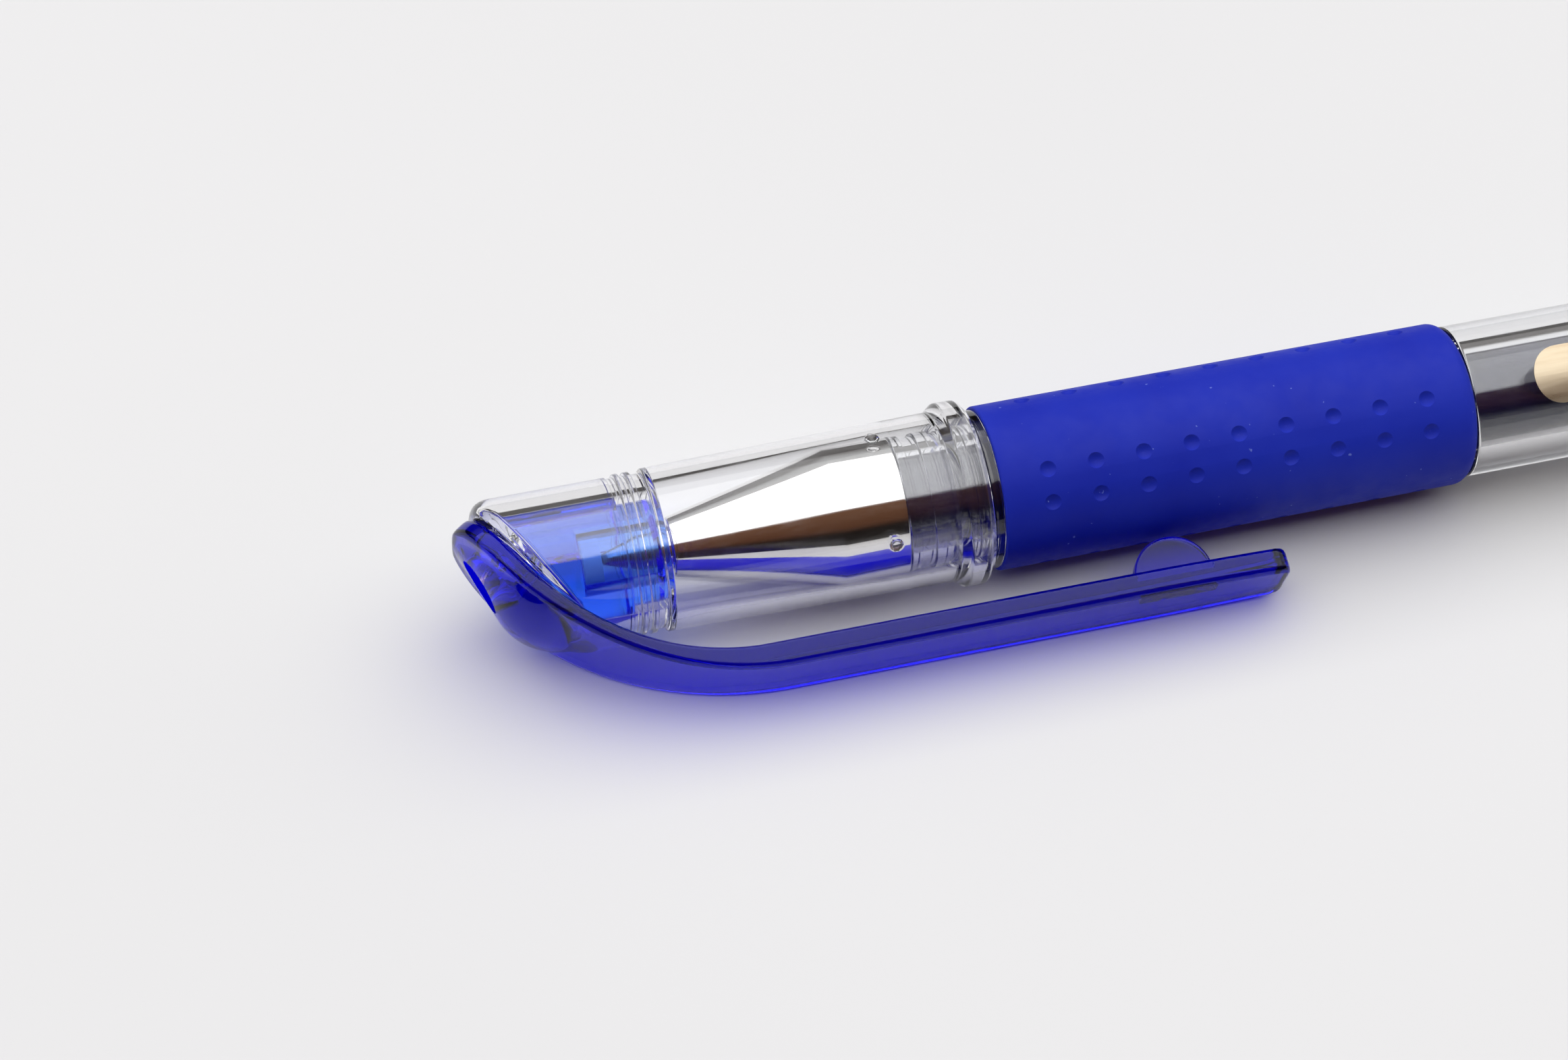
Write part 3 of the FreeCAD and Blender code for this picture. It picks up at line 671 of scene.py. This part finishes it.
def inner_bend(angle):
    return bend_point(BEND_X, CLIP_INNER_R, BEND_RADIUS, angle)


SLANT_START = inner_bend(SLANT)


def outer_bend_x():
    """Where the outer bend has to start so that it runs into the crown at its right thickness."""
    rise = (CLIP_OUTER_R - SLANT_START[1]) * math.cos(SLANT) + OUTER_BEND_RADIUS * (1 - math.cos(SLANT))
    return SLANT_START[0] + (rise - CROWN_THICKNESS) / math.sin(SLANT)


OUTER_BEND_X = outer_bend_x()


def outer_bend(angle):
    return bend_point(OUTER_BEND_X, CLIP_OUTER_R, OUTER_BEND_RADIUS, angle)


def slant_x(height):
    """The x of the slanted face at a height."""
    if height < SLANT_START[1]:
        return SLANT_START[0] - (SLANT_START[1] - height) / math.tan(SLANT)
    turn = math.acos(1 - (CLIP_INNER_R - height) / BEND_RADIUS)
    return BEND_X - BEND_RADIUS * math.sin(turn)


def soft_max(a, b, width):
    return (a + b + math.sqrt((a - b) ** 2 + width**2)) / 2


def quarter(r, radius, edge):
    """How far a rounded edge falls back at a radius."""
    inside = max(0.0, r - (radius - edge))
    return edge - math.sqrt(max(0.0, edge**2 - inside**2))


def inward(radius, edge, flat_steps, edge_steps=8):
    """Radii from a rim to the axis, close together over the rim's round."""
    turns = [math.pi / 2 * (1 - step / edge_steps) for step in range(edge_steps + 1)]
    near = [radius - edge + edge * math.sin(turn) for turn in turns]
    start = radius - edge
    return near + [start * (1 - step / flat_steps) for step in range(1, flat_steps + 1)]


def shell_end(r, angle):
    """The x of the shell's outer end surface."""
    blunt = SHELL_END_X + quarter(r, SHELL_END_RADIUS, SHELL_END_ROUND)
    slanted = slant_x(r * math.cos(angle)) + END_GAP
    return soft_max(blunt, slanted, 0.25) + quarter(r, SHELL_END_RADIUS, 0.22)


def shell_bore(x):
    share = (x - NECK_FRONT_X) / (BORE_FRONT[0] - NECK_FRONT_X)
    return BORE_REAR + share * (BORE_FRONT[1] - BORE_REAR)


def pip_ring(x):
    """A ring of the bore that bulges inwards over the pips."""

    def ring(angle):
        r = shell_bore(x)
        for pip in PIP_ANGLES:
            off = angle - math.radians(pip)
            room = PIP_RADIUS**2 - (x - PIP_X) ** 2 - (PIP_CENTRE_R * math.sin(off)) ** 2
            if room > 0 and math.cos(off) > 0:
                r = min(r, PIP_CENTRE_R * math.cos(off) - math.sqrt(room))
        return x, r

    return ring


def slanted_face(radius, edge, flat_steps, end):
    """Rings over an end surface from its rim to the axis."""
    return [lambda angle, r=r: (end(r, angle), r) for r in inward(radius, edge, flat_steps)]


def wall_to_end(radius, from_x, end, steps):
    """Rings along a cylinder from a round edge to a slanted rim."""

    def at_share(share):
        return lambda angle: (from_x + share * (end(radius, angle) - from_x), radius)

    shares = [step / steps for step in range(1, steps)] + [0.995]
    return [at_share(share) for share in shares]


def cap_shell():
    outside = [(RING_EDGES_X[0] - 0.6, SHELL_END_RADIUS, 0), (RING_EDGES_X[0], SHELL_END_RADIUS, 0.08)]
    for index, (front, rear) in enumerate(zip(RING_EDGES_X, RING_EDGES_X[1:])):
        radius = RING_GROOVE if index % 2 == 0 else RING_RADIUS
        outside += [(front, radius, 0.07), (rear, radius, 0.07)]
    outside += [
        (RING_EDGES_X[-1], SHELL_FRONT_RADIUS, 0.10),
        (-12.0, 5.525, 0),
        (BEAD_FRONT_X, SHELL_REAR_RADIUS, 0.20),
        (BEAD_TOP_X[0], BEAD_RADIUS, 0.28),
        (BEAD_TOP_X[1], BEAD_RADIUS, 0.28),
        (SHELL_MOUTH_X, 5.70, 0.12),
        (SHELL_MOUTH_X, 5.10, 0.06),
        (SHELL_MOUTH_X - 0.3, BORE_REAR + 0.1, 0.05),
        (-2.60, BORE_REAR + 0.1, 0.05),
        (-2.80, BORE_REAR, 0.05),
        (NECK_FRONT_X, BORE_REAR, 0.5),
        (-6.30, shell_bore(-6.30), 0),
    ]
    pip_steps = 18
    pip_zone = [PIP_X + 0.6 * (1 - 2 * step / pip_steps) for step in range(pip_steps + 1)]
    pocket = [
        (-9.0, shell_bore(-9.0), 0),
        (*BORE_FRONT, 0.15),
        (BORE_FRONT[0] - 0.5, POCKET_RADIUS, 0.10),
        (BORE_FRONT[0] - 0.9, POCKET_RADIUS, 0),
    ]

    def inner_end(r, angle):
        return slant_x(r * math.cos(angle)) + END_WALL + quarter(r, POCKET_RADIUS, 0.25)

    rings = list(reversed(slanted_face(SHELL_END_RADIUS, SHELL_END_ROUND, 10, shell_end)))
    rings += list(reversed(wall_to_end(SHELL_END_RADIUS, RING_EDGES_X[0] - 0.6, shell_end, 6)))
    rings += fixed(rounded(outside, False))
    rings += [pip_ring(x) for x in pip_zone]
    rings += fixed(rounded(pocket, False))
    rings += wall_to_end(POCKET_RADIUS, BORE_FRONT[0] - 0.9, inner_end, 6)
    rings += slanted_face(POCKET_RADIUS, 0.5, 8, inner_end)
    angles = even_angles([(pip, 6.0, 1.0) for pip in PIP_ANGLES])
    shell = ring_mesh("cap_shell_clear", rings, False, angles)
    holes = [rod("vent_cut", slant_place(VENT_HEIGHT, 0, -3.0), slant_out(), SHELL_VENT, 4.0)]
    for side in (-1, 1):
        foot = slant_place(VENT_HEIGHT, side * STUD_OFFSET, -STUD_LENGTH - 0.05)
        holes.append(rod("stud_cut", foot, slant_out(), STUD_RADIUS + STUD_CLEARANCE, 2.0, sides=32))
    for hole in holes:
        combined(shell, hole, "DIFFERENCE")
    return shell


def slant_out():
    """Direction out of the slanted face."""
    return towards(-math.sin(SLANT), math.cos(SLANT), 0)


def slant_place(height, side, out):
    """A point above or below the slanted face."""
    return at(slant_x(height), height, side) + slant_out() * out * MM


def cap_seal():
    def end(r, angle):
        return slant_x(r * math.cos(angle)) + SEAL_SHIFT + quarter(r, SEAL_RADIUS, 0.15)

    def grooved(ring):
        """The ring pulled in where an air channel runs."""

        def cut(angle):
            x, r = ring(angle)
            for channel in CHANNEL_ANGLES:
                off = angle - math.radians(channel)
                room = CHANNEL_RADIUS**2 - (SEAL_RADIUS * math.sin(off)) ** 2
                if room > 0 and math.cos(off) > 0:
                    r = min(r, SEAL_RADIUS * math.cos(off) - math.sqrt(room))
            return x, r

        return cut

    outside = [
        (SEAL_SHOULDER_X - 0.8, SEAL_RADIUS, 0),
        (SEAL_SHOULDER_X, SEAL_RADIUS, 0.35),
        (SEAL_SHOULDER_X, SEAL_LIP_RADIUS, 0.08),
        (SEAL_MOUTH_X, SEAL_LIP_RADIUS, 0.35),
        (SEAL_MOUTH_X, 1.95, 0.08),
        (SEAL_MOUTH_X - 0.45, SEAL_BORE, 0.05),
        (SEAL_BORE_END_X, SEAL_BORE, 0.10),
        (SEAL_BORE_END_X, 0, 0),
    ]
    rings = list(reversed(slanted_face(SEAL_RADIUS, 0.15, 12, end)))
    rings += list(reversed(wall_to_end(SEAL_RADIUS, SEAL_SHOULDER_X - 0.8, end, 6)))
    rings += fixed(rounded(outside, False))
    angles = even_angles([(channel, 6.8, 0.68) for channel in CHANNEL_ANGLES])
    return ring_mesh("cap_seal_blue", [grooved(ring) for ring in rings], False, angles)


# ---------------------------------------------------------------- the pen's body


def thread_ring(x):
    """A ring of the spigot with its screw thread."""

    def ring(angle):
        share = (x / THREAD_PITCH + angle / (2 * math.pi)) % 1.0
        fade = min(1.0, (x - SPIGOT_FRONT_X - 0.3) / 0.4, (NECK_FRONT_X - 0.25 - x) / 0.3)
        wave = min(1.0, max(0.0, 2.0 * abs(2 * share - 1) - 0.5))
        return x, SPIGOT_RADIUS - THREAD_DEPTH * wave * max(0.0, fade)

    return ring


def barrel():
    collar = COLLAR_HALF
    front = [
        (-6.30, SPIGOT_BORE, 0),
        (SPIGOT_FRONT_X, SPIGOT_BORE, 0.05),
        (SPIGOT_FRONT_X, SPIGOT_RADIUS - 0.2, 0.05),
        (SPIGOT_FRONT_X + 0.2, SPIGOT_RADIUS, 0.05),
        (SPIGOT_FRONT_X + 0.28, SPIGOT_RADIUS, 0),
    ]
    steps = 58
    start = SPIGOT_FRONT_X + 0.3
    threads = [start + (NECK_FRONT_X - 0.25 - start) * step / steps for step in range(steps + 1)]
    rear = [(NECK_FRONT_X - 0.2, SPIGOT_RADIUS, 0)]
    previous = SPIGOT_RADIUS
    for land_front, land_rear, radius in NECK_LANDS:
        rear += [(land_front, previous, 0.06), (land_front, radius, 0.07)]
        if land_rear < -collar:
            rear += [(land_rear, radius, 0.07), (land_rear, NECK_RADIUS, 0.06)]
        previous = NECK_RADIUS
    rear += [
        (-collar, NECK_LANDS[-1][2], 0.05),
        (-collar, COLLAR_RADIUS, 0.12),
        (collar, COLLAR_RADIUS, 0.10),
        (collar, CORE_RADIUS, 0.05),
        (GRIP_REAR_X, CORE_RADIUS, 0.05),
        (GRIP_REAR_X, BARREL_RADIUS, 0.15),
        (70.0, BARREL_RADIUS, 0),
        (BARREL_REAR_X, BARREL_RADIUS, 0.35),
        (BARREL_REAR_X, COUNTERBORE, 0.05),
        (COUNTERBORE_X, COUNTERBORE, 0.05),
        (COUNTERBORE_X, BARREL_BORE, 0.05),
        (NECK_FRONT_X, BARREL_BORE, 0),
    ]
    rings = fixed(rounded(front, False)) + [thread_ring(x) for x in threads] + fixed(rounded(rear, False))
    return ring_mesh("barrel_clear", rings, True)


def turned(name, outline):
    return ring_mesh(name, fixed(rounded(outline, True)), True)


def nose_cone():
    shoulder_x, shoulder_r = NOSE_SHOULDER
    lip_x, lip_r = NOSE_LIP
    socket_x, socket_r = NOSE_SOCKET
    return turned("nose_cone_plated", [
        (NOSE_REAR_X, socket_r, 0.05),
        (NOSE_REAR_X, NOSE_RADIUS, 0.12),
        (NOSE_EDGE_X, NOSE_RADIUS, 0.10),
        (shoulder_x, shoulder_r, 0.12),
        (shoulder_x, lip_r, 0.06),
        (lip_x, lip_r, 0.08),
        (lip_x, NOSE_BORE, 0.04),
        (-20.0, NOSE_BORE, 0.05),
        (-19.4, 1.70, 0.05),
        (socket_x - 0.15, 3.50, 0.05),
        (socket_x, socket_r, 0.05),
    ])


def refill():
    return turned("refill_tube_clear", [
        (REFILL_FRONT_X, REFILL_BORE, 0.04),
        (REFILL_FRONT_X, REFILL_RADIUS, 0.08),
        (REFILL_REAR_X, REFILL_RADIUS, 0.08),
        (REFILL_REAR_X, REFILL_BORE, 0.04),
    ])


def column(name, front_x, rear_x, front_dish, rear_dish):
    """A liquid column in the refill, with a dished face at each end."""
    radius = REFILL_BORE + INK_OVERLAP
    steps = 10
    rings = []
    for step in range(steps + 1):
        r = radius * step / steps
        rings.append((front_x + front_dish * (1 - (r / radius) ** 2), r))
    for step in range(steps, -1, -1):
        r = radius * step / steps
        rings.append((rear_x - rear_dish * (1 - (r / radius) ** 2), r))
    return ring_mesh(name, fixed(rings), False)


# ---------------------------------------------------------------- clip


def crown_half_width(x):
    """Half the width of the crown, through the points of its outline."""
    points = CROWN_OUTLINE
    total = 0.0
    for i, (xi, wi) in enumerate(points):
        weight = wi
        for j, (xj, _) in enumerate(points):
            if i != j:
                weight *= (x - xj) / (xi - xj)
        total += weight
    return total


def half_width(x):
    if x < CROWN_OUTLINE[-1][0]:
        return crown_half_width(x)
    blade = CROWN_OUTLINE[-1][1]
    if x < BLADE_TAPER_X:
        return blade
    share = (x - BLADE_TAPER_X) / (CLIP_END_X - BLADE_TAPER_X)
    return blade + (BLADE_END_HALF_WIDTH - blade) * share * share * (1.6 - 0.6 * share)


def mix_points(a, b, share):
    return a[0] + (b[0] - a[0]) * share, a[1] + (b[1] - a[1]) * share


def clip_stations():
    """(inner point, outer point, distance to the nearer end, corner radius), from crown to blade end."""
    inner_top = (slant_x(CROWN_TOP), CROWN_TOP)
    out_x, out_height = -math.sin(SLANT) * CROWN_THICKNESS, math.cos(SLANT) * CROWN_THICKNESS
    outer_top = (inner_top[0] + out_x, inner_top[1] + out_height)
    close = sorted(
        [CLIP_EDGE * (1 - math.cos(math.pi / 2 * k / 6)) for k in range(7)]
        + [CROWN_CORNER * (1 - math.cos(math.pi / 2 * k / 14)) for k in range(3, 15)]
    )
    stations = []
    for s in close:
        dx, dh = s * math.cos(SLANT), s * math.sin(SLANT)
        inner = (inner_top[0] + dx, inner_top[1] + dh)
        outer = (outer_top[0] + dx, outer_top[1] + dh)
        stations.append((inner, outer, s, CROWN_CORNER))
    last = stations[-1]
    for k in range(1, SLANT_STEPS):
        inner = mix_points(last[0], SLANT_START, k / SLANT_STEPS)
        outer = mix_points(last[1], outer_bend(SLANT), k / SLANT_STEPS)
        stations.append((inner, outer, CLEAR_OF_ENDS, CROWN_CORNER))
    for k in range(BEND_STEPS + 1):
        angle = SLANT * (1 - k / BEND_STEPS)
        stations.append((inner_bend(angle), outer_bend(angle), CLEAR_OF_ENDS, CROWN_CORNER))
    near = sorted(
        [CLIP_EDGE * (1 - math.cos(math.pi / 2 * k / 6)) for k in range(7)]
        + [BLADE_CORNER * (1 - math.cos(math.pi / 2 * k / 10)) for k in range(4, 11)],
        reverse=True,
    )
    end_inner = (CLIP_END_X - near[0], CLIP_INNER_R)
    end_outer = (CLIP_END_X - near[0], CLIP_OUTER_R)
    for k in range(1, BLADE_STEPS):
        inner = mix_points(inner_bend(0), end_inner, k / BLADE_STEPS)
        outer = mix_points(outer_bend(0), end_outer, k / BLADE_STEPS)
        stations.append((inner, outer, CLEAR_OF_ENDS, BLADE_CORNER))
    for s in near:
        stations.append(((CLIP_END_X - s, CLIP_INNER_R), (CLIP_END_X - s, CLIP_OUTER_R), s, BLADE_CORNER))
    return stations


DOME_OUT = (-math.sin(DOME_SLOPE), math.cos(DOME_SLOPE))
DOME_TOP = (slant_x(VENT_HEIGHT) + DOME_OUT[0] * DOME_THICKNESS, VENT_HEIGHT + DOME_OUT[1] * DOME_THICKNESS)


def beyond_dome(x, height, side):
    """How far a point is outside the arched back of the crown; inside it is negative."""
    dx, dh = x - DOME_TOP[0], height - DOME_TOP[1]
    past = max(0.0, dx * DOME_OUT[1] - dh * DOME_OUT[0] - DOME_END)
    if past > 0.99 * DOME_END_ROUND:
        return DOME_END_ROUND
    radius = DOME_RADIUS - DOME_END_ROUND + math.sqrt(DOME_END_ROUND**2 - past**2)
    return math.hypot(dx * DOME_OUT[0] + dh * DOME_OUT[1] + DOME_RADIUS, side) - radius


def arched(inner, up, side, thick):
    """The clip's thickness at a distance from its middle, with the crown's arched back."""
    low, high = 0.0, 2 * thick + 1
    for _ in range(24):
        middle = (low + high) / 2
        if beyond_dome(inner[0] + up[0] * middle, inner[1] + up[1] * middle, side) < 0:
            low = middle
        else:
            high = middle
    return soft_max(thick, low, DOME_BLEND) if low > thick - 0.4 else thick


def clip_section(inner, outer, s, corner):
    """Points of the clip's cross-section, a rectangle with rounded edges that closes up at the ends."""
    thick = math.dist(inner, outer)
    up = ((outer[0] - inner[0]) / thick, (outer[1] - inner[1]) / thick)
    shrink = corner - math.sqrt(max(0.0, corner**2 - max(0.0, corner - s) ** 2))
    edge = math.sqrt(max(0.0, CLIP_EDGE**2 - max(0.0, CLIP_EDGE - s) ** 2))
    points = []
    for quadrant in range(4):
        side = 1 if quadrant in (0, 3) else -1
        level = thick - CLIP_EDGE if quadrant in (0, 1) else CLIP_EDGE
        turns = [90 * quadrant + 90 * k / EDGE_STEPS for k in range(EDGE_STEPS + 1)]
        for k, turn in enumerate(turns):
            away = edge * math.cos(math.radians(turn))
            rise = level + edge * math.sin(math.radians(turn))
            x = inner[0] + up[0] * rise
            height = inner[1] + up[1] * rise
            reach = half_width(x) - shrink - CLIP_EDGE
            across = side * reach + away
            if k == 0 and quadrant in (1, 3):
                points.append(at(x, height, across + side * -EDGE_SUPPORT))
            points.append(at(x, height, across))
            if k == EDGE_STEPS and quadrant in (0, 2):
                points.append(at(x, height, across + side * -EDGE_SUPPORT))
        if quadrant == 0:
            for step in range(1, DOME_STEPS):
                across = (reach - EDGE_SUPPORT) * (1 - 2 * step / DOME_STEPS)
                rise = thick - CLIP_EDGE + edge
                if s > 0:
                    rise = min(rise, thick) + arched(inner, up, across, thick) - thick
                points.append(at(inner[0] + up[0] * rise, inner[1] + up[1] * rise, across))
    return points


def cut_short(piece, height):
    """The part of a piece that lies nearer the pen than a height, closed again at the cut."""
    made = bmesh.new()
    made.from_mesh(piece.data)
    whole = made.verts[:] + made.edges[:] + made.faces[:]
    place = at(0, height, 0)
    cut = bmesh.ops.bisect_plane(made, geom=whole, plane_co=place, plane_no=TO_CLIP, clear_outer=True)
    rim = [part for part in cut["geom_cut"] if isinstance(part, bmesh.types.BMEdge)]
    bmesh.ops.edgeloop_fill(made, edges=rim)
    made.to_mesh(piece.data)
    made.free()
    return piece


def clip():
    made = bmesh.new()
    rows = []
    for station in clip_stations():
        rows.append([made.verts.new(point) for point in clip_section(*station)])
    count = len(rows[0])
    for row, following in zip(rows, rows[1:]):
        for i in range(count):
            j = (i + 1) % count
            made.faces.new([row[i], row[j], following[j], following[i]])
    made.faces.new(rows[0])
    made.faces.new(rows[-1])
    bmesh.ops.remove_doubles(made, verts=made.verts, dist=1e-7)
    body = finished("clip_blue", made)
    foot = at(TAB_X, TAB_LOWEST + TAB_RADIUS, -TAB_HALF)
    tab = rod("tab", foot, TO_SIDE, TAB_RADIUS, 2 * TAB_HALF, TAB_EDGE, FINE_SIDES)
    combined(body, cut_short(tab, CLIP_INNER_R + TAB_ROOT), "UNION")
    for side in (-1, 1):
        foot = slant_place(VENT_HEIGHT, side * STUD_OFFSET, -STUD_LENGTH)
        stud = rod("stud", foot, slant_out(), STUD_RADIUS, STUD_LENGTH + STUD_ROOT, STUD_EDGE, STUD_SIDES)
        combined(body, stud, "UNION")
    out = towards(*DOME_OUT, 0)
    foot = at(slant_x(VENT_HEIGHT), VENT_HEIGHT, 0) - out * VENT_CUT_BACK * MM
    vent = rod("vent", foot, out, VENT_LENGTH / 2, VENT_CUT_LENGTH, sides=FINE_SIDES)
    middle = vent.data.vertices[0].co.copy()
    for vertex in vent.data.vertices:
        vertex.co -= TO_SIDE * (vertex.co - middle).dot(TO_SIDE) * (1 - VENT_WIDTH / VENT_LENGTH)
    return combined(body, vent, "DIFFERENCE", True)


# ---------------------------------------------------------------- assembly


def dress(piece, finish, slot):
    piece.data.materials.clear()
    piece.data.materials.append(finish)
    return piece


def stand_in(piece, body, finish, slot, *nodes):
    """A piece made here that stands for CAD nodes."""
    dress(piece, finish, slot)
    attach(piece, body)
    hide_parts(*nodes)


def new_pieces():
    barrel_finish = clear_plastic("barrel_plastic", (0.975, 0.98, 0.99), (0.86, 0.87, 0.89))
    cap_finish = clear_plastic("cap_plastic", (0.98, 0.982, 0.99), (0.85, 0.84, 0.93))
    seal_finish = blue_plastic("seal_plastic", (1, 1, 1), (0.36, 0.66, 0.985), 760, (0.85, 0.92, 1.0))
    clip_finish = blue_plastic(
        "clip_plastic", (1.0, 0.70, 1.0), (0.273, 0.300, 0.966), 3300, (0.38, 0.48, 0.85), 1.36
    )
    stand_in(barrel(), "barrel", barrel_finish, "barrel_plastic", "barrel_tube")
    stand_in(cap_shell(), "cap", cap_finish, "clear_plastic", "cap_shell")
    stand_in(cap_seal(), "cap", seal_finish, "seal_plastic", "cap_seal")
    stand_in(nose_cone(), "nose", chrome(), "nose_chrome", "nose_cone")
    stand_in(refill(), "refill", refill_plastic(), "refill_plastic", "refill_tube")
    stand_in(column("ink_column", INK_FRONT_X, INK_REAR_X, 0, -0.3), "refill", ink(), "blue_ink", "gel_ink")
    follower = column("follower_column", INK_REAR_X, FOLLOWER_REAR_X, 0.35, 0.5)
    stand_in(follower, "refill", grease(), "grease", "ink_follower")
    blade = dress(clip(), clip_finish, "clip_plastic")
    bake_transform(blade)
    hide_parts("clip_crown", "clip_blade")


def cad_pieces():
    nodes = frame["nodes"]
    plug = blue_plastic("plug_plastic", (1.0, 0.8, 0.9), (0.333, 0.433, 0.933), 1200, (0.5, 0.6, 1.0))
    holder = moulded("holder_plastic", (0.74, 0.75, 0.77), (0.82, 0.83, 0.84), 0.3, 0.45)
    stopper = moulded("stopper_rubber", (0.62, 0.62, 0.60), (0.72, 0.72, 0.70), 0.5, 0.7)
    finishes = [
        ("grip_sleeve", rubber(), "grip_rubber"),
        ("tail_plug", plug, "plug_plastic"),
        ("barrel_print", foil(), "gold_foil"),
        ("tip_holder", holder, "holder_plastic"),
        ("writing_tip", turned_metal("point_steel", (0.62, 0.60, 0.57), 0.25), "point_steel"),
        ("tip_ball", turned_metal("ball_carbide", (0.45, 0.45, 0.47), 0.15), "ball_carbide"),
        ("tip_seal", stopper, "stopper_rubber"),
    ]
    for node, finish, slot in finishes:
        dress(nodes[node], finish, slot)


def look():
    scene = bpy.context.scene
    scene.view_settings.view_transform = "Standard"
    scene.cycles.max_bounces = 24
    scene.cycles.transmission_bounces = 24
    scene.cycles.transparent_max_bounces = 24
    scene.cycles.glossy_bounces = 8


camera()
floor()
lights()
world()
new_pieces()
cad_pieces()
look()
